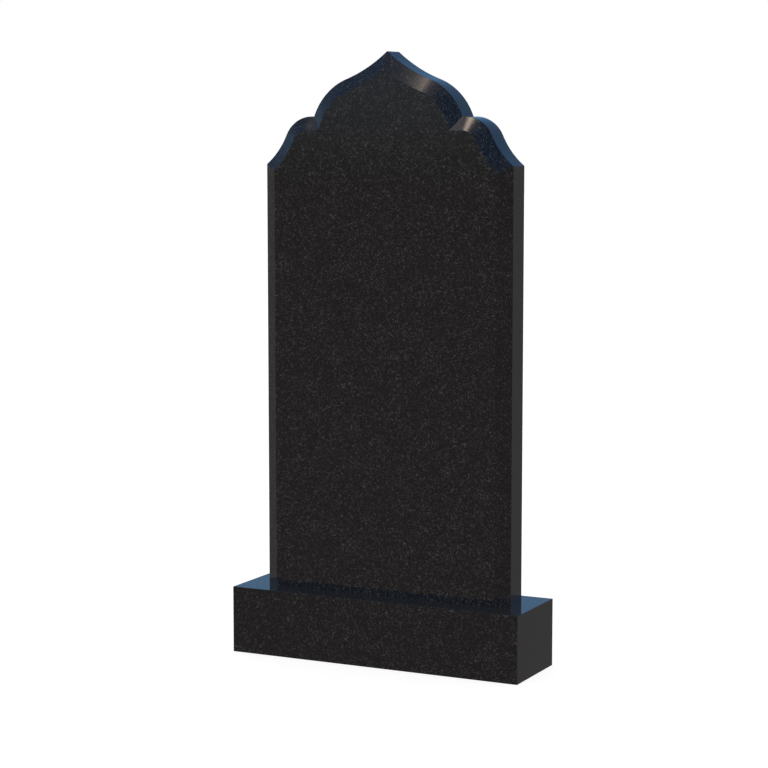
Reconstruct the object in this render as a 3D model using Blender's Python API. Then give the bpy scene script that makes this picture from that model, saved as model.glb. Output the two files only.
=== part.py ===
"""A headstone of polished black granite: an upright slab with an ogee-arched top, on a plain plinth.

Run it with: blender --background --python part.py
Metres, +Z up. The front faces -Y, and the origin is the middle of the plinth's underside.
"""

import math
from collections import namedtuple

import bmesh
import bpy
from mathutils import Vector

# The slab
SLAB_WIDTH = 0.600
SLAB_HEIGHT = 1.200
SLAB_THICKNESS = 0.080

# The pointed arch in the middle of its top: its width from cusp to cusp, and its rise from them to the apex
ARCH_WIDTH = 0.360
ARCH_RISE = 0.141

# Each shoulder: the short level run beside its cusp, and its fall from there to the slab's upright side
SHOULDER_LEVEL = 0.007
SHOULDER_DROP = 0.1055

# Where each S-curve turns from one arc into the other, as shares of its width and height from its upper end
ARCH_TURN = (0.556, 0.423)
SHOULDER_TURN = (0.557, 0.386)

# How steeply the arch falls where its S-curve turns, in degrees below level
ARCH_TURN_FALL = 20.6

# The flat chamfer round the front, over the top and down both sides
CHAMFER_WIDTH = 0.030
CHAMFER_DEPTH = 0.020

# The plinth, by its height and by how far it stands out past the slab
PLINTH_HEIGHT = 0.150
PLINTH_END_MARGIN = 0.050
PLINTH_FACE_MARGIN = 0.060

# The bed joint between the slab and the plinth
BED_JOINT = 0.0003

# How finely the arcs are cut into flats
ARC_FACETS = 24
WELD_DISTANCE = 0.000001
FLAT_ANGLE = math.radians(0.1)
SMOOTH_ANGLE = math.radians(15)

SLAB_COLOUR = (0.018, 0.017, 0.017, 1.0)
PLINTH_COLOUR = (0.018, 0.017, 0.017, 1.0)
POLISHED_ROUGHNESS = 0.06

# An arc of the outline. Its reach runs from the line out of the stone to its centre: a hollow's is positive
# and a lobe's, whose centre lies in the stone, is negative.
Arc = namedtuple("Arc", "centre reach")

# An S-curve: the arc at its upper end, the arc at its lower end, and the point and outward normal of its turn
Ogee = namedtuple("Ogee", "upper_arc lower_arc turn normal")

LEVEL_NORMAL = Vector((0.0, 1.0))


def clear_scene():
    for obj in list(bpy.data.objects):
        bpy.data.objects.remove(obj, do_unlink=True)


def make_collection(name):
    collection = bpy.data.collections.new(name)
    bpy.context.scene.collection.children.link(collection)
    return collection


def polished_granite(name, colour):
    material = bpy.data.materials.new(name)
    material.use_nodes = True
    shader = material.node_tree.nodes["Principled BSDF"]
    shader.inputs["Base Color"].default_value = colour
    shader.inputs["Roughness"].default_value = POLISHED_ROUGHNESS
    shader.inputs["Metallic"].default_value = 0.0
    return material


def arc_from_turn(turn, normal, end):
    """The arc that leaves the turn square to its normal and passes through the end point."""
    chord = end - turn
    reach = chord.length_squared / (2 * chord.dot(normal))
    return Arc(turn + normal * reach, reach)


def make_ogee(upper, lower, turn_shares, turn_fall=None):
    """Two arcs from the upper point to the lower one, which run into each other smoothly at the turn.

    Without a fall for its turn, the S-curve leaves its upper point level. An arc that starts level falls, at
    its end, at twice the angle of its chord.
    """
    span = lower - upper
    turn = upper + Vector((span.x * turn_shares[0], span.y * turn_shares[1]))
    if turn_fall is None:
        turn_fall = 2 * math.atan2(upper.y - turn.y, turn.x - upper.x)
    normal = Vector((math.sin(turn_fall), math.cos(turn_fall)))
    return Ogee(arc_from_turn(turn, normal, upper), arc_from_turn(turn, normal, lower), turn, normal)


def point_at(arc, inset, x):
    """The point at x on the arc, with the arc moved into the stone by the inset."""
    rise = math.sqrt((arc.reach + inset) ** 2 - (x - arc.centre.x) ** 2)
    return Vector((x, arc.centre.y - math.copysign(rise, arc.reach)))


def outward_normal(arc, point):
    return (arc.centre - point) / arc.reach


def mitre(corner, first_normal, second_normal, inset):
    """Where two straight edges that meet at the corner meet again, with both moved in by the inset."""
    return corner - (first_normal + second_normal) * inset / (1 + first_normal.dot(second_normal))


def points_along(arc, start, end):
    """Even points on the arc's circle from the start point to the end point, without the start itself."""
    spoke = start - arc.centre
    end_spoke = end - arc.centre
    sweep = math.remainder(math.atan2(end_spoke.y, end_spoke.x) - math.atan2(spoke.y, spoke.x), math.tau)
    points = []
    for step in range(1, ARC_FACETS + 1):
        angle = sweep * step / ARC_FACETS
        turned = Vector(
            (
                spoke.x * math.cos(angle) - spoke.y * math.sin(angle),
                spoke.x * math.sin(angle) + spoke.y * math.cos(angle),
            )
        )
        points.append(arc.centre + turned)
    return points


def slab_outline(inset):
    """The slab's outline seen from the front, moved inwards by the inset on all sides but its foot, at y = 0.

    It starts at the apex and runs down the right side. Every inset gives as many points, in the same order.
    """
    apex = Vector((0.0, SLAB_HEIGHT))
    cusp = Vector((ARCH_WIDTH / 2, SLAB_HEIGHT - ARCH_RISE))
    level_end = cusp + Vector((SHOULDER_LEVEL, 0.0))
    shoulder = Vector((SLAB_WIDTH / 2, cusp.y - SHOULDER_DROP))
    arch = make_ogee(apex, cusp, ARCH_TURN, math.radians(ARCH_TURN_FALL))
    side = make_ogee(level_end, shoulder, SHOULDER_TURN)

    inset_apex = point_at(arch.upper_arc, inset, apex.x)
    arch_turn = arch.turn - arch.normal * inset
    lobe_normal = outward_normal(arch.lower_arc, cusp)
    inset_level_end = level_end - LEVEL_NORMAL * inset
    side_turn = side.turn - side.normal * inset
    inset_shoulder = point_at(side.lower_arc, inset, shoulder.x - inset)

    right = [inset_apex]
    right += points_along(arch.upper_arc, inset_apex, arch_turn)
    right += points_along(arch.lower_arc, arch_turn, cusp - lobe_normal * inset)
    # The lobe's last edge runs on straight to its mitre with the level
    right[-1] = mitre(cusp, lobe_normal, LEVEL_NORMAL, inset)
    right.append(inset_level_end)
    right += points_along(side.upper_arc, inset_level_end, side_turn)
    right += points_along(side.lower_arc, side_turn, inset_shoulder)
    right.append(Vector((inset_shoulder.x, 0.0)))
    left = [Vector((-point.x, point.y)) for point in reversed(right[1:])]
    return right + left


def extruded_outline(name, points, thickness):
    """The flat outline as a filled curve, with its thickness to either side of its own plane."""
    data = bpy.data.curves.new(name, "CURVE")
    data.dimensions = "2D"
    data.fill_mode = "BOTH"
    data.extrude = thickness / 2
    spline = data.splines.new("POLY")
    spline.points.add(len(points) - 1)
    for spline_point, point in zip(spline.points, points):
        spline_point.co = (point.x, point.y, 0.0, 1.0)
    spline.use_cyclic_u = True
    curve = bpy.data.objects.new(name, data)
    bpy.context.scene.collection.objects.link(curve)
    return curve


def curve_to_mesh(curve, name):
    """The curve's solid as a mesh, with its caps welded to its sides and made one face each."""
    graph = bpy.context.evaluated_depsgraph_get()
    mesh = bpy.data.meshes.new_from_object(curve.evaluated_get(graph))
    bpy.data.objects.remove(curve, do_unlink=True)
    mesh.name = name
    bm = bmesh.new()
    bm.from_mesh(mesh)
    bmesh.ops.remove_doubles(bm, verts=bm.verts, dist=WELD_DISTANCE)
    bmesh.ops.dissolve_limit(bm, angle_limit=FLAT_ANGLE, verts=bm.verts, edges=bm.edges)
    bm.to_mesh(mesh)
    bm.free()
    return mesh


def raise_chamfer(mesh, outline):
    """Extrudes the front, local +Z, and draws its rim in from the outline to the one inside the chamfer."""
    bm = bmesh.new()
    bm.from_mesh(mesh)
    front = max(bm.faces, key=lambda face: face.calc_center_median().z)
    front = bmesh.ops.extrude_discrete_faces(bm, faces=[front])["faces"][0]
    inner_outline = slab_outline(CHAMFER_WIDTH)
    for vert in front.verts:
        index = min(range(len(outline)), key=lambda i: (outline[i] - vert.co.xy).length_squared)
        vert.co = (*inner_outline[index], vert.co.z + CHAMFER_DEPTH)
    bmesh.ops.recalc_face_normals(bm, faces=bm.faces)
    bm.to_mesh(mesh)
    bm.free()


def make_slab(collection):
    """The slab, worked lying flat with its face up and then stood upright on the plinth."""
    outline = slab_outline(0.0)
    body = extruded_outline("slab_outline", outline, SLAB_THICKNESS - CHAMFER_DEPTH)
    mesh = curve_to_mesh(body, "headstone_slab")
    raise_chamfer(mesh, outline)
    mesh.shade_smooth()
    mesh.set_sharp_from_angle(angle=SMOOTH_ANGLE)
    mesh.materials.clear()
    mesh.materials.append(polished_granite("slab_granite", SLAB_COLOUR))
    slab = bpy.data.objects.new("headstone_slab", mesh)
    slab.rotation_euler.x = math.radians(90)
    slab.location = (0.0, CHAMFER_DEPTH / 2, PLINTH_HEIGHT + BED_JOINT)
    collection.objects.link(slab)
    return slab


def make_plinth(collection):
    """The plain block under the slab, centred on it."""
    length = SLAB_WIDTH + 2 * PLINTH_END_MARGIN
    depth = SLAB_THICKNESS + 2 * PLINTH_FACE_MARGIN
    bpy.ops.mesh.primitive_cube_add(size=1, location=(0, 0, PLINTH_HEIGHT / 2))
    plinth = bpy.context.object
    plinth.name = "plinth"
    plinth.data.name = "plinth"
    plinth.scale = (length, depth, PLINTH_HEIGHT)
    bpy.ops.object.transform_apply(location=False, rotation=False, scale=True)
    plinth.data.materials.append(polished_granite("plinth_granite", PLINTH_COLOUR))
    for old in list(plinth.users_collection):
        old.objects.unlink(plinth)
    collection.objects.link(plinth)
    return plinth


def main():
    clear_scene()
    collection = make_collection("headstone")
    origin = bpy.data.objects.new("headstone_origin", None)
    collection.objects.link(origin)
    for piece in (make_plinth(collection), make_slab(collection)):
        piece.parent = origin


main()
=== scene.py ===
# %% [markdown]
# A headstone of polished black granite
#
# The real thing is two blocks of stone: an upright slab with an ogee arch cut into its top, and the plain
# plinth that it stands on. Both are sawn, cut to shape and polished until they mirror their surroundings.
#
# The solids come measured, from the frame. What is left to make is what a mason and a photographer add:
# the eased edges, the crystals in the stone, the polish, and the light that shows it.

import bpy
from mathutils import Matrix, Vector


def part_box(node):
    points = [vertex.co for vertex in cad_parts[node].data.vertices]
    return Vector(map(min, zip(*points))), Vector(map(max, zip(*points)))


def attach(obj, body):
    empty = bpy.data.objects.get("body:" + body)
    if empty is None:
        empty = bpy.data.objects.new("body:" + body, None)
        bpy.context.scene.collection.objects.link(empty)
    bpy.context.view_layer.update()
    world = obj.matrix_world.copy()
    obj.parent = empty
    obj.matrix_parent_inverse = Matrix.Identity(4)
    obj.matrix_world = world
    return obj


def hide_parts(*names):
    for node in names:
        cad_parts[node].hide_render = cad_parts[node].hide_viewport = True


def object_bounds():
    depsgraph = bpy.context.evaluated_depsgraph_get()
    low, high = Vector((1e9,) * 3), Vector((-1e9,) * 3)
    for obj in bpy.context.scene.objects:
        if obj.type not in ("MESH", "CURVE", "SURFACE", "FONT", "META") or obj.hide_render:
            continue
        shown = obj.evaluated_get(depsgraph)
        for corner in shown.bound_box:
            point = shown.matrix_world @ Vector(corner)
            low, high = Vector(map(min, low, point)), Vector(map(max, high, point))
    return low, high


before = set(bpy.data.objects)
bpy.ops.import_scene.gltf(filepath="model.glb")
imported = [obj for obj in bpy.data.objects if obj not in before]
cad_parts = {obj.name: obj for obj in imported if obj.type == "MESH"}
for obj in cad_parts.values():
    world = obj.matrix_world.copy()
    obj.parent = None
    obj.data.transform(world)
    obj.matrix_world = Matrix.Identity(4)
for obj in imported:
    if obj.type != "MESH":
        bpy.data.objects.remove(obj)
cad_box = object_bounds()

for name in sorted(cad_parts):
    low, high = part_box(name)
    print(name, "measures", [round(length, 4) for length in high - low], "metres")

# %% Blender's own modules
import math

import bpy
from mathutils import Vector

# Every length is in metres, and is printed in millimetres where it is a small one
MILLIMETRES = 1000

print("this is Blender", bpy.app.version_string)

# %% [markdown]
# Working on one piece at a time
#
# A Blender operator acts on everything that is selected, and the loaded solids come in selected. So each
# step first lets go of everything and then picks up the one piece that it works on.


# %% Pick up one piece
def pick_up(piece):
    bpy.ops.object.select_all(action="DESELECT")
    piece.select_set(True)
    bpy.context.view_layer.objects.active = piece


def describe(piece):
    return f"{piece.name} has {len(piece.data.vertices)} points and {len(piece.data.polygons)} faces"


print("selected at the start:", sorted(piece.name for piece in bpy.context.selected_objects))

# %% [markdown]
# The plinth
#
# The plinth is a sawn block. A copy of the frame's solid would do, but a cube primitive gives the same
# block with clean edges at once, made at the place and size that the frame gives. Its place is then
# applied, so that the object sits at the origin and patterns on its Object coordinates stay where they are.

# %% Make the block
low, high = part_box("plinth")
bpy.ops.object.select_all(action="DESELECT")
bpy.ops.mesh.primitive_cube_add(size=1, location=(low + high) / 2, scale=high - low)
plinth = bpy.context.object
plinth.name = "polished_plinth"
bpy.ops.object.transform_apply(location=True, rotation=False, scale=True)
print(describe(plinth))

# %% [markdown]
# The slab
#
# The slab's outline is a row of arcs, with a flat chamfer that follows it round the front. It could be
# drawn again here, arc by arc, but the frame already holds it exactly, so a copy of that mesh is the better
# start. The copy arrives as loose triangles. Merging their corners closes it, and a limited dissolve turns
# each flat side back into one face, which is what the next steps need: clean edges and nothing else.

# %% Take a clean copy of the slab
MERGE_DISTANCE = 0.00001
FLAT_ANGLE = math.radians(0.2)

slab = bpy.data.objects.new("polished_slab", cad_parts["headstone_slab"].data.copy())
bpy.context.scene.collection.objects.link(slab)
slab.data.materials.clear()
pick_up(slab)
print("as it comes,", describe(slab))
bpy.ops.mesh.customdata_custom_splitnormals_clear()
bpy.ops.object.mode_set(mode="EDIT")
bpy.ops.mesh.select_all(action="SELECT")
bpy.ops.mesh.remove_doubles(threshold=MERGE_DISTANCE)
bpy.ops.mesh.dissolve_limited(angle_limit=FLAT_ANGLE)
bpy.ops.object.mode_set(mode="OBJECT")
print("cleaned,", describe(slab))

# %% [markdown]
# The bed joint
#
# The two stones are stuck together, and the joint is too thin to see. The solids keep a gap of 0.3 mm
# there, which would show as a black line on polished stone. The gap could be filled with a thin bed of
# mortar. It is simpler to pick the points of the slab's foot by their height and to move them down to the
# plinth. Less than a hair's breadth is left, because two faces in one plane would flicker.

# %% Close the joint
JOINT_LEFT = 0.00002

joint_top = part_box("headstone_slab")[0].z
joint_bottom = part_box("plinth")[1].z
bpy.ops.object.mode_set(mode="EDIT")
bpy.ops.mesh.select_all(action="DESELECT")
bpy.ops.object.mode_set(mode="OBJECT")
for point in slab.data.vertices:
    point.select = point.co.z < joint_top + MERGE_DISTANCE
bpy.ops.object.mode_set(mode="EDIT")
bpy.ops.transform.translate(value=(0, 0, joint_bottom + JOINT_LEFT - joint_top))
bpy.ops.object.mode_set(mode="OBJECT")
foot = min(point.co.z for point in slab.data.vertices)
print("the foot is now", round(MILLIMETRES * (foot - joint_bottom), 3), "mm above the plinth")

# %% [markdown]
# Eased edges
#
# No mason leaves a polished edge sharp: it would chip and cut. Each one is rubbed down to a narrow round,
# the arris, under a millimetre wide here. From a few steps away it is only a thin line of light along the
# edge, but without it a stone looks like cardboard.
#
# The edges round an underside stay as they were sawn. On the slab, a round there would show as a dark
# groove along the joint. So the first thing needed is a way to find those edges, by their height.


# %% Edges to leave alone
def edges_round_underside(piece):
    points = piece.data.vertices
    lowest = min(point.co.z for point in points)
    return [
        edge
        for edge in piece.data.edges
        if max(points[index].co.z for index in edge.vertices) < lowest + MERGE_DISTANCE
    ]


for piece in (plinth, slab):
    print(piece.name, "keeps", len(edges_round_underside(piece)), "edges as they were sawn")

# %% [markdown]
# Rounding the rest
#
# A Bevel modifier that goes by angle would round the edges of the underside too. The bevel operator works
# on what is selected: here, every edge where two faces meet at a clear angle, less those to leave alone.
# The fine flats of the arcs meet at too small an angle to be picked.

# %% Ease the arrises
ARRIS_WIDTH = 0.0006
ARRIS_SEGMENTS = 2
SHARP_EDGE = math.radians(20)


def ease_arrises(piece):
    """Rounds every sharp edge, apart from those round the underside."""
    pick_up(piece)
    bpy.ops.object.mode_set(mode="EDIT")
    bpy.ops.mesh.select_mode(type="EDGE")
    bpy.ops.mesh.select_all(action="DESELECT")
    bpy.ops.mesh.edges_select_sharp(sharpness=SHARP_EDGE)
    bpy.ops.object.mode_set(mode="OBJECT")
    # A face that is still selected would bring its edges back
    for face in piece.data.polygons:
        face.select = False
    for edge in edges_round_underside(piece):
        edge.select = False
    bpy.ops.object.mode_set(mode="EDIT")
    bpy.ops.mesh.bevel(offset=ARRIS_WIDTH, segments=ARRIS_SEGMENTS, affect="EDGES", clamp_overlap=True)
    bpy.ops.object.mode_set(mode="OBJECT")


for piece in (plinth, slab):
    ease_arrises(piece)
    print("eased,", describe(piece))

# %% [markdown]
# Keeping the flat faces flat
#
# A polished face mirrors, so the eye catches the least bend in it. Smooth shading makes the narrow rounds
# look round, but it would bend the light across the big flat faces as well. The Weighted Normal modifier
# gives the large faces the say at each corner, so that they stay flat. It is told to stop at the sharp
# edges round the underside.

# %% Shade the stones
# At 50 all faces would count alike, and 100 is the highest
SAY_OF_LARGE_FACES = 100


def keep_faces_flat(piece):
    """Shades the piece smooth without bending the light across its large faces."""
    pick_up(piece)
    piece.data.shade_smooth()
    for edge in edges_round_underside(piece):
        edge.use_edge_sharp = True
    keep_flat = piece.modifiers.new("flat_faces_stay_flat", "WEIGHTED_NORMAL")
    keep_flat.mode = "FACE_AREA"
    keep_flat.weight = SAY_OF_LARGE_FACES
    keep_flat.keep_sharp = True
    bpy.ops.object.modifier_apply(modifier=keep_flat.name)


for piece in (plinth, slab):
    keep_faces_flat(piece)
    sharp_edges = [edge for edge in piece.data.edges if edge.use_edge_sharp]
    print(piece.name, "is smooth, with", len(sharp_edges), "sharp edges")

# %% [markdown]
# Building materials out of nodes
#
# A material is a small program that is drawn as boxes and wires. It could be wired by hand in the Shader
# Editor. In a script, a helper that adds one box and connects it at once keeps each line close to what it
# does: an input that is given a number takes it, and one that is given another box's output is wired to it.

# %% A helper that adds a node
COLUMN_WIDTH = 220
ROW_HEIGHT = 260


def set_inputs(tree, node, inputs):
    """Gives each input its value, or a link where the value is another node's output."""
    for socket, value in inputs.items():
        if isinstance(value, bpy.types.NodeSocket):
            tree.links.new(value, node.inputs[socket])
        else:
            node.inputs[socket].default_value = value


def add_node(tree, kind, place, inputs=None, **settings):
    """Adds a node at a column and row of the editor, with its settings and its inputs."""
    node = tree.nodes.new(kind)
    node.location = (place[0] * COLUMN_WIDTH, -place[1] * ROW_HEIGHT)
    for setting, value in settings.items():
        setattr(node, setting, value)
    set_inputs(tree, node, inputs or {})
    return node


print("nodes stand in columns", COLUMN_WIDTH, "apart and in rows", ROW_HEIGHT, "apart")

# %% [markdown]
# Sums, ranges and mixes
#
# Most of a pattern is arithmetic. Four kinds of node do nearly all of it here, so each gets a helper that
# hands back its result, ready to go into the next one. Spelt out each time, they would bury the pattern.


# %% Helpers for arithmetic
def add_math(tree, operation, place, *inputs):
    """Works on numbers, and gives the result."""
    node = add_node(tree, "ShaderNodeMath", place, dict(enumerate(inputs)), operation=operation)
    return node.outputs["Value"]


def add_vector_math(tree, operation, place, *inputs):
    """Works on vectors, and gives the result, which is a number for a dot product."""
    node = add_node(tree, "ShaderNodeVectorMath", place, dict(enumerate(inputs)), operation=operation)
    return node.outputs["Value" if operation == "DOT_PRODUCT" else "Vector"]


def add_range(tree, place, value, before, after=(0, 1), **settings):
    """Takes a value from one range to another, holds it at both ends, and gives the result."""
    inputs = {
        "Value": value,
        "From Min": before[0],
        "From Max": before[1],
        "To Min": after[0],
        "To Max": after[1],
    }
    return add_node(tree, "ShaderNodeMapRange", place, inputs, **settings).outputs["Result"]


def add_mix(tree, data_type, place, share, first, second):
    """Goes from the first value to the second as the share goes from 0 to 1, and gives the result."""
    inputs = {"Factor": share, "A": first, "B": second}
    return add_node(tree, "ShaderNodeMix", place, inputs, data_type=data_type).outputs["Result"]


print("numbers, vectors, ranges and mixes each have a helper")

# %% [markdown]
# The granite's crystals
#
# What the trade calls black granite is a dark rock of tightly locked crystals. Most of it is nearly black,
# with thin plates of a paler mineral tilted every way. Wherever the saw cuts through one, a short, crooked
# sliver shows, a millimetre wide and a few long.
#
# A picture of stone could be wrapped round the blocks, but it would show seams at their edges. A solid
# pattern is read at each point of the block instead, so it runs on round every edge as in real stone. First
# come the places that it is read at, flattened and shaken a little, so that no crystal has a straight edge.

# %% The crystals' own space
CRYSTAL_FLATNESS = 2.5
RAGGEDNESS = 0.0012
RAGGED_SCALE = 600
RAGGED_DETAIL = 2
MIDDLE_OF_RANDOM = (0.5, 0.5, 0.5)


def crystal_space(tree, place_in_stone, column):
    """Places in the stone, flattened along Y and shaken by noise."""
    flatten = add_node(
        tree,
        "ShaderNodeMapping",
        (column, 0),
        {"Vector": place_in_stone, "Scale": (1, CRYSTAL_FLATNESS, 1)},
    )
    flat = flatten.outputs["Vector"]
    shake = add_node(
        tree,
        "ShaderNodeTexNoise",
        (column + 1, 1),
        {"Vector": flat, "Scale": RAGGED_SCALE, "Detail": RAGGED_DETAIL},
    )
    centred = add_vector_math(tree, "SUBTRACT", (column + 2, 1), shake.outputs["Color"], MIDDLE_OF_RANDOM)
    return add_vector_math(tree, "MULTIPLY_ADD", (column + 3, 0), centred, (RAGGEDNESS,) * 3, flat)


print("a crystal's edge is shaken by up to", MILLIMETRES * RAGGEDNESS / 2, "mm each way")

# %% [markdown]
# One plate in each cell
#
# A Voronoi texture fills space with cells and tells where the middle of each one is. Its cells alone would
# look like pebbles. So a thin plate is laid across each cell, through its middle and tilted at random, and
# a point of the stone is pale where it is close enough to that plate. Most plates are dim and a few are
# bright, as in the stone.

# %% Plates
PLATES = [
    {"cell_size": 0.0050, "thickness": 0.0014, "rarity_of_bright": 3.5, "share": 1.0},
    {"cell_size": 0.0027, "thickness": 0.0010, "rarity_of_bright": 3.7, "share": 0.75},
]

# Where a plate begins and where it is whole, measured from its middle as shares of its thickness
PLATE_EDGE = (0.65, 0.35)


def add_plates(tree, space, place, cell_size, thickness, rarity_of_bright, share):
    """One plate across each cell, tilted at random. Gives its brightness inside it, and 0 outside."""
    column, row = place
    cell = add_node(tree, "ShaderNodeTexVoronoi", place, {"Vector": space, "Scale": 1 / cell_size})
    middle = cell.outputs["Position"]
    from_middle = add_vector_math(tree, "SUBTRACT", (column + 1, row), space, middle)
    random = cell.outputs["Color"]
    tilt = add_vector_math(tree, "SUBTRACT", (column + 1, row + 1), random, MIDDLE_OF_RANDOM)
    across = add_vector_math(tree, "NORMALIZE", (column + 2, row + 1), tilt)
    height = add_vector_math(tree, "DOT_PRODUCT", (column + 3, row), from_middle, across)
    depth = add_math(tree, "ABSOLUTE", (column + 4, row), height)
    edge = [thickness * part for part in PLATE_EDGE]
    inside = add_range(tree, (column + 5, row), depth, edge)
    chance = add_node(tree, "ShaderNodeTexWhiteNoise", (column + 3, row + 1), {"Vector": middle})
    luck = chance.outputs["Value"]
    brightness = add_math(tree, "POWER", (column + 4, row + 1), luck, rarity_of_bright)
    seen = add_math(tree, "MULTIPLY", (column + 6, row), inside, brightness)
    return add_math(tree, "MULTIPLY", (column + 7, row), seen, share)


for plate in PLATES:
    cell_width = MILLIMETRES * plate["cell_size"]
    plate_thickness = MILLIMETRES * plate["thickness"]
    print(f"a plate {plate_thickness:.1f} mm thick lies in each cell of {cell_width:.1f} mm")

# %% [markdown]
# From crystals to flecks
#
# Both sizes of plate are added, and made a little denser in some patches of stone than in others, because
# an even pattern looks printed.
#
# The ends of the blocks cut across the flattened plates, whose edges are too fine for an eye to part. There
# the flecks sink into the stone's middle colour. Which way a face looks is told by its normal.

# %% Flecks
CLOUD_SCALE = 22
CLOUD_DETAIL = 2
CLOUD_NOISE = (0.3, 0.7)
CLOUD_DENSITY = (0.7, 1.3)
MIDDLE_SHARE = 0.165
CONTRAST_ON_ENDS = 0.2

# How squarely a face looks along Y where it counts as an end, and where it counts as a front or back
END_TO_FACE = (0.3, 0.8)


def add_flecks(tree, place_in_stone, space, column):
    """Gives each point of the stone its share of the brightest plate."""
    large, small = [
        add_plates(tree, space, (column, 2 * row), **plate) for row, plate in enumerate(PLATES)
    ]
    both = add_math(tree, "ADD", (column + 8, 0), large, small)
    clouds = add_node(
        tree,
        "ShaderNodeTexNoise",
        (column + 7, 4),
        {"Vector": place_in_stone, "Scale": CLOUD_SCALE, "Detail": CLOUD_DETAIL},
    )
    density = add_range(tree, (column + 8, 4), clouds.outputs["Fac"], CLOUD_NOISE, CLOUD_DENSITY)
    return add_math(tree, "MULTIPLY", (column + 9, 0), both, density)


def fade_on_ends(tree, flecks, facing_along_y, column):
    """Draws the flecks towards their middle on the ends of a block."""
    frontal = add_math(tree, "ABSOLUTE", (column, 6), facing_along_y)
    contrast = add_range(tree, (column + 1, 6), frontal, END_TO_FACE, (CONTRAST_ON_ENDS, 1))
    return add_mix(tree, "FLOAT", (column + 2, 0), contrast, MIDDLE_SHARE, flecks)


print("the patches are about", round(MILLIMETRES / CLOUD_SCALE), "mm wide")

# %% [markdown]
# Undersides as the saw left them
#
# Nobody polishes what stands on the ground. The undersides are matt, and grey with the dust of the cut.
# They could have a second material. One share, which is 0 on every face that doesn't look down, does the
# same without touching the mesh, and lets a little of the stone show through the dust.

# %% Share of dust
DUST_SHARE = 0.75

# How squarely a face looks up where the dust begins, and where it is whole: below 0 it looks down
SIDE_TO_UNDERSIDE = (-0.6, -0.9)


def add_dust_share(tree, facing_up):
    return add_range(tree, (17, 6), facing_up, SIDE_TO_UNDERSIDE, (0, DUST_SHARE))


print("dust hides", f"{DUST_SHARE:.0%}", "of the stone on an underside")

# %% [markdown]
# The polish
#
# Polished granite is black because it is smooth: it mirrors instead of scattering. So its roughness is very
# low, with a hair more where a crystal takes the polish less well. One number would do for the front. But
# the back, which faces nobody, gets one polishing pass fewer, and the undersides get none.

# %% Roughness
FRONT_ROUGHNESS = 0.035
CRYSTAL_ROUGHNESS = 0.05
BACK_ROUGHNESS = 0.10
SAWN_ROUGHNESS = 0.7

# How squarely a face looks backwards where the back's finish begins, and where it is whole
SIDE_TO_BACK = (0.6, 0.9)


def add_roughness(tree, flecks, facing_along_y, dust):
    """The polish itself, a little from each plate, more on the back, and the saw's finish below."""
    back = add_range(tree, (16, 3), facing_along_y, SIDE_TO_BACK, (0, BACK_ROUGHNESS))
    front = add_math(tree, "MULTIPLY_ADD", (17, 2), flecks, CRYSTAL_ROUGHNESS, FRONT_ROUGHNESS)
    polished = add_math(tree, "ADD", (18, 2), front, back)
    return add_mix(tree, "FLOAT", (18, 3), dust, polished, SAWN_ROUGHNESS)


print("the front starts from a roughness of", FRONT_ROUGHNESS, "and the back has", BACK_ROUGHNESS, "more")

# %% [markdown]
# Waves and saw marks
#
# No polished slab is perfectly flat. Waves of up to two hundredths of a millimetre, over a hand's width,
# keep its mirror image from looking like glass. Underneath, where the stone was left alone, the saw's marks
# are deeper, and three millimetres apart. Both could be modelled, but they are so shallow that a Bump node,
# which only turns the light, looks the same.

# %% Relief
WAVE_SCALE = 9.0
WAVE_DETAIL = 1
WAVE_HEIGHT = 0.00002
SAW_MARK_SCALE = 100
SAW_MARK_WANDER = 1.5
SAW_MARK_HEIGHT = 3


def add_relief(tree, place_in_stone, dust):
    """The faint waves of a polished face, and the saw's marks where it was left alone."""
    waves = add_node(
        tree,
        "ShaderNodeTexNoise",
        (17, 4),
        {"Vector": place_in_stone, "Scale": WAVE_SCALE, "Detail": WAVE_DETAIL},
    )
    saw_marks = add_node(
        tree,
        "ShaderNodeTexWave",
        (16, 5),
        {"Vector": place_in_stone, "Scale": SAW_MARK_SCALE, "Distortion": SAW_MARK_WANDER},
    )
    marks_shown = add_math(tree, "MULTIPLY", (18, 6), saw_marks.outputs["Fac"], dust)
    height = add_math(tree, "MULTIPLY_ADD", (18, 5), marks_shown, SAW_MARK_HEIGHT, waves.outputs["Fac"])
    relief = {"Height": height, "Strength": 1.0, "Distance": WAVE_HEIGHT}
    return add_node(tree, "ShaderNodeBump", (18, 4), relief).outputs["Normal"]


mark_depth = MILLIMETRES * WAVE_HEIGHT * SAW_MARK_HEIGHT * DUST_SHARE
print("the waves are", MILLIMETRES * WAVE_HEIGHT, "mm high and the saw's marks", round(mark_depth, 3), "mm")

# %% [markdown]
# The finished stone
#
# Colour, roughness and relief come together on one shader, the Principled BSDF, which can be anything from
# chrome to cloth. Here it isn't a metal, and it bends light as most minerals do. The colour runs from that
# of the dark ground to that of the brightest plate, and the dust lies over it, on the undersides alone.

# %% Polished granite
DARK_GROUND = (0.0077, 0.0049, 0.0049, 1)
BRIGHT_PLATE = (0.108, 0.099, 0.097, 1)
SAWN_GREY = (0.085, 0.083, 0.082, 1)
STONE_IOR = 1.5


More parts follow.
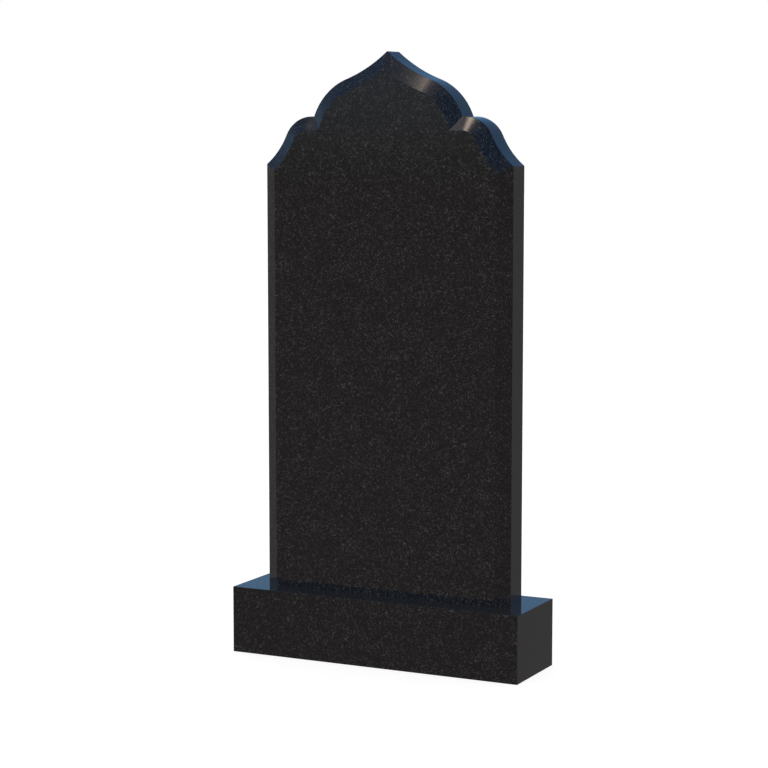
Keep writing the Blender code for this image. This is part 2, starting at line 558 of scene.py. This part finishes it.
def polished_granite(name):
    material = bpy.data.materials.new(name)
    material.use_nodes = True
    tree = material.node_tree
    coordinates = add_node(tree, "ShaderNodeTexCoord", (0, 0))
    place_in_stone = coordinates.outputs["Object"]
    facing = add_node(tree, "ShaderNodeSeparateXYZ", (12, 6), {"Vector": coordinates.outputs["Normal"]})
    dust = add_dust_share(tree, facing.outputs["Z"])

    space = crystal_space(tree, place_in_stone, 1)
    all_flecks = add_flecks(tree, place_in_stone, space, 5)
    flecks = fade_on_ends(tree, all_flecks, facing.outputs["Y"], 14)
    colour = add_mix(tree, "RGBA", (17, 0), flecks, DARK_GROUND, BRIGHT_PLATE)

    finish = {
        "Base Color": add_mix(tree, "RGBA", (18, 0), dust, colour, SAWN_GREY),
        "Roughness": add_roughness(tree, flecks, facing.outputs["Y"], dust),
        "Normal": add_relief(tree, place_in_stone, dust),
        "Metallic": 0.0,
        "IOR": STONE_IOR,
    }
    shader = tree.nodes["Principled BSDF"]
    shader.location.x = 19 * COLUMN_WIDTH
    set_inputs(tree, shader, finish)
    print(name, "has", len(tree.nodes), "nodes")
    return material


print("the brightest plate is", round(BRIGHT_PLATE[0] / DARK_GROUND[0]), "times as bright as the ground")

# %% [markdown]
# Dressing both stones
#
# The two could share one granite. Each gets its own, so that either can be changed alone. A dressed stone
# then takes the place of its plain solid, moves with the part's one body, and names its material slot.

# %% Dress both stones
for stone, node_name, slot_name in (
    (plinth, "plinth", "plinth_granite"),
    (slab, "headstone_slab", "slab_granite"),
):
    stone.data.materials.clear()
    stone.data.materials.append(polished_granite(slot_name + "_polished"))
    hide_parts(node_name)
    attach(stone, "root")

# %% [markdown]
# The surroundings
#
# A mirror shows what it faces, so the surroundings make most of this stone's look. They could be modelled,
# or taken from a panorama. Here they are painted in the world, by direction, because a few soft shapes are
# all that a black stone shows: pale ground below, haze at the horizon, blue sky above it, and one warm,
# soft glow high in front, which draws the bright streaks on the chamfers. A faint warm haze hangs low
# beside the stone too.

# %% Directions in the world
GLOW_TURN_AND_ELEVATION = (math.radians(-27.5), math.radians(65))
HAZE_TURN_AND_ELEVATION = (math.radians(-88), math.radians(22))
BRIGHT_SIDE_TURN = math.radians(-35)


def direction(turn, elevation):
    """A direction seen from the stone. A turn of 0 is out of its front, and + is to its left hand."""
    level = math.cos(elevation)
    return Vector((level * math.sin(turn), -level * math.cos(turn), math.sin(elevation)))


print("the glow lies towards", [round(part, 3) for part in direction(*GLOW_TURN_AND_ELEVATION)])

# %% [markdown]
# Sky and ground
#
# The sky's colour depends on height alone, so a colour ramp holds it, from the horizon at 0 to straight up
# at 1. The ground is one grey. One side is a little brighter than the other, as on any day with a sun.

# %% Sky and ground
SKY_BY_HEIGHT = [
    (0.000, (0.318, 0.368, 0.418, 1)),
    (0.014, (0.338, 0.398, 0.458, 1)),
    (0.140, (0.235, 0.410, 0.650, 1)),
    (0.210, (0.180, 0.365, 0.620, 1)),
    (0.300, (0.122, 0.292, 0.547, 1)),
    (0.420, (0.098, 0.243, 0.478, 1)),
    (0.520, (0.075, 0.215, 0.450, 1)),
    (1.000, (0.070, 0.210, 0.445, 1)),
]
GROUND = (0.2345, 0.231, 0.231, 1)
GROUND_TO_SKY = (-0.03, 0.01)
BRIGHT_SIDE = 0.128


def set_ramp(ramp_node, stops):
    """Gives a colour ramp its stops, each a position and a colour."""
    elements = ramp_node.color_ramp.elements
    while len(elements) > 1:
        elements.remove(elements[-1])
    elements[0].position, elements[0].color = stops[0]
    for position, colour in stops[1:]:
        elements.new(position).color = colour


def add_sky_and_ground(tree, seen_towards, height):
    sky = add_node(tree, "ShaderNodeValToRGB", (2, 0), {"Fac": height})
    set_ramp(sky, SKY_BY_HEIGHT)
    above = add_range(tree, (2, 1), height, GROUND_TO_SKY, interpolation_type="SMOOTHSTEP")
    painted = add_mix(tree, "RGBA", (4, 0), above, GROUND, sky.outputs["Color"])
    side = add_vector_math(tree, "DOT_PRODUCT", (3, 2), seen_towards, direction(BRIGHT_SIDE_TURN, 0))
    strength = add_math(tree, "MULTIPLY_ADD", (4, 2), side, BRIGHT_SIDE, 1)
    shown = add_node(tree, "ShaderNodeBackground", (6, 0), {"Color": painted, "Strength": strength})
    return shown.outputs["Background"]


print("the sky runs through", len(SKY_BY_HEIGHT), "colours")

# %% [markdown]
# Glows
#
# A glow is brightest in its middle and fades as a bell curve with the angle from it. It could be a lamp
# with a soft edge, but painted in the world it is seen by the polish alone. The high one is made of two, a
# bright core and a wide, dim halo.

# %% Glows
GLOW_COLOUR = (1.0, 0.80, 0.61, 1)
GLOWS = [
    {"middle": GLOW_TURN_AND_ELEVATION, "strength": 9.0, "spread": math.radians(5)},
    {"middle": GLOW_TURN_AND_ELEVATION, "strength": 1.05, "spread": math.radians(13)},
    {"middle": HAZE_TURN_AND_ELEVATION, "strength": 0.06, "spread": math.radians(20)},
]


def add_glow(tree, seen_towards, row, middle, strength, spread):
    """A round glow. Gives its strength in each direction."""
    towards = add_vector_math(tree, "DOT_PRODUCT", (1, row), seen_towards, direction(*middle))
    # Near the middle, 1 - cosine is half the square of the angle
    sharpness = 1 / spread**2
    fading = add_math(tree, "MULTIPLY_ADD", (2, row), towards, sharpness, -sharpness)
    bell = add_math(tree, "EXPONENT", (3, row), fading)
    return add_math(tree, "MULTIPLY", (4, row), bell, strength)


def add_all_glows(tree, seen_towards, picture):
    """Lays every glow over the picture, and gives the new picture."""
    for row, glow in enumerate(GLOWS, start=3):
        lamp_light = {"Color": GLOW_COLOUR, "Strength": add_glow(tree, seen_towards, row, **glow)}
        lamp = add_node(tree, "ShaderNodeBackground", (6, row), lamp_light)
        both = {0: picture, 1: lamp.outputs["Background"]}
        picture = add_node(tree, "ShaderNodeAddShader", (7, row), both).outputs["Shader"]
    return picture


for glow in GLOWS:
    spread_in_degrees = round(math.degrees(glow["spread"]))
    print("a glow of strength", glow["strength"], "has a spread of", spread_in_degrees, "degrees")

# %% [markdown]
# Who sees what
#
# One picture all round would also light the stone and stand behind it. Only the polish is to see it. The
# camera sees plain white, and what falls on the stone's own colour is a soft, neutral studio light, most of
# it from above. The Light Path node tells these rays apart.

# %% The world
WHITE = (1, 1, 1, 1)
LIGHT_FROM_BELOW = 0.06
LIGHT_FROM_ABOVE = 0.64
BELOW_TO_ABOVE = (-0.3, 0.3)


def build_world():
    world = bpy.data.worlds.new("surroundings")
    bpy.context.scene.world = world
    world.use_nodes = True
    tree = world.node_tree
    tree.nodes.clear()
    seen_towards = add_node(tree, "ShaderNodeTexCoord", (0, 0)).outputs["Generated"]
    height = add_node(tree, "ShaderNodeSeparateXYZ", (1, 0), {"Vector": seen_towards}).outputs["Z"]
    picture = add_all_glows(tree, seen_towards, add_sky_and_ground(tree, seen_towards, height))

    softbox = add_range(tree, (6, 2), height, BELOW_TO_ABOVE, (LIGHT_FROM_BELOW, LIGHT_FROM_ABOVE))
    studio = add_node(tree, "ShaderNodeBackground", (8, 2), {"Color": WHITE, "Strength": softbox})
    white = add_node(tree, "ShaderNodeBackground", (9, 2), {"Color": WHITE})

    ray = add_node(tree, "ShaderNodeLightPath", (8, 0)).outputs
    by_polish = {"Fac": ray["Is Glossy Ray"], 1: studio.outputs["Background"], 2: picture}
    on_stone = add_node(tree, "ShaderNodeMixShader", (9, 1), by_polish).outputs["Shader"]
    by_camera = {"Fac": ray["Is Camera Ray"], 1: on_stone, 2: white.outputs["Background"]}
    everywhere = add_node(tree, "ShaderNodeMixShader", (10, 1), by_camera).outputs["Shader"]
    add_node(tree, "ShaderNodeOutputWorld", (11, 1), {"Surface": everywhere})
    print("the world has", len(tree.nodes), "nodes")


build_world()

# %% [markdown]
# What the floor is made of
#
# The floor is plain and nearly white. Lamps could light it, but they would grey the black stone too. So
# most of its brightness is a glow that only the camera sees. The rest is real light, which leaves a faint
# soft shadow where the plinth stands. From below the floor is clear, so that the sawn underside can be
# looked at too.

# %% Pale floor
FLOOR_COLOUR = (0.45, 0.45, 0.45, 1)
FLOOR_GLOW = 0.80


def pale_floor_clear_from_below():
    material = bpy.data.materials.new("pale_floor")
    material.use_nodes = True
    tree = material.node_tree
    pale = {
        "Base Color": FLOOR_COLOUR,
        "Roughness": 1.0,
        "Specular IOR Level": 0.0,
        "Emission Color": WHITE,
        "Emission Strength": FLOOR_GLOW,
    }
    shader = tree.nodes["Principled BSDF"]
    set_inputs(tree, shader, pale)
    below = add_node(tree, "ShaderNodeNewGeometry", (-1, 2)).outputs["Backfacing"]
    clear = add_node(tree, "ShaderNodeBsdfTransparent", (0, 2)).outputs["BSDF"]
    by_side = {"Fac": below, 1: shader.outputs["BSDF"], 2: clear}
    both = add_node(tree, "ShaderNodeMixShader", (1, 2), by_side).outputs["Shader"]
    set_inputs(tree, tree.nodes["Material Output"], {"Surface": both})
    print("pale_floor has", len(tree.nodes), "nodes")
    return material


floor_material = pale_floor_clear_from_below()

# %% [markdown]
# Laying the floor
#
# A wide plane is enough, and its far edge is lost in the white behind it. It lies a fifth of a millimetre
# below the plinth, because two faces in one plane would flicker. Only the camera sees it, so it casts no
# light or shadow on the stone, and the polish mirrors the painted ground instead.

# %% Floor
FLOOR_SIZE = 60
FLOOR_DROP = 0.0002

bpy.ops.object.select_all(action="DESELECT")
bpy.ops.mesh.primitive_plane_add(size=FLOOR_SIZE, location=(0, 0, cad_box[0].z - FLOOR_DROP))
floor = bpy.context.object
floor.name = "floor"
for kind_of_ray in ("visible_glossy", "visible_diffuse", "visible_transmission", "visible_shadow"):
    setattr(floor, kind_of_ray, False)
floor.data.materials.append(floor_material)
print("the floor is", FLOOR_SIZE, "m wide and", MILLIMETRES * FLOOR_DROP, "mm below the plinth")

# %% [markdown]
# The camera
#
# The camera stands in front of the stone and to its left hand, and looks a little down, as in the
# photograph. It could be turned by eye. Here its place, its turn and its lens come from measuring where the
# corners of both stones lie in the picture. The lens was worked out in pixels of the 768-pixel picture, and
# a 36 mm sensor turns that into millimetres.

# %% Camera
CAMERA_PLACE = (2.1870, -4.4525, 1.2026)
CAMERA_LOOKS_DOWN = math.radians(6.695)
CAMERA_TURNS_LEFT = math.radians(26.338)
FOCAL_PIXELS = 2253.0
PICTURE_PIXELS = 768
SENSOR_WIDTH = 36.0

# An unturned camera looks straight down, so this much of a turn about X makes it level
LEVEL = math.radians(90)

bpy.ops.object.select_all(action="DESELECT")
bpy.ops.object.camera_add(
    location=CAMERA_PLACE,
    rotation=(LEVEL - CAMERA_LOOKS_DOWN, 0, CAMERA_TURNS_LEFT),
)
camera = bpy.context.object
camera.data.sensor_width = SENSOR_WIDTH
camera.data.lens = FOCAL_PIXELS / PICTURE_PIXELS * SENSOR_WIDTH
bpy.context.scene.camera = camera
bpy.context.scene.view_settings.view_transform = "Standard"
print("the lens is", round(camera.data.lens, 1), "mm")
